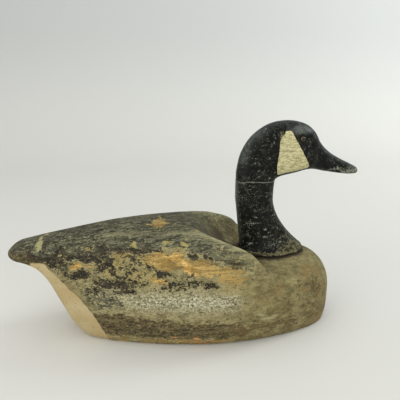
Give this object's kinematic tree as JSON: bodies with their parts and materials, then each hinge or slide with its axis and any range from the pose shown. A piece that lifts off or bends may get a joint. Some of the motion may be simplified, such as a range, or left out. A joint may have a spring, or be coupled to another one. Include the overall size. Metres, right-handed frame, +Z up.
{
  "type": "goose decoy",
  "caption": "Carved wooden goose decoy with a flat underside, an upright neck, a head with a pale cheek and glass eyes, in worn paint.",
  "frame": {"origin": "on the ground under the middle of the bird's length, at the flat underside", "axes": "+X from the tail towards the bill, +Y to the bird's left, +Z up"},
  "size_m": [0.621, 0.223, 0.3733],
  "materials": {
    "worn_paint": "weathered matt olive-grey and buff paint over bare ochre wood",
    "black_paint": "worn satin black paint over wood, with a cream cheek",
    "eye_glass": "dark brown glass, polished"
  },
  "bodies": {
    "root": {"body": "worn_paint", "neck": "black_paint", "head": "black_paint", "eye_right": "eye_glass", "eye_left": "eye_glass"}
  },
  "joints": []
}
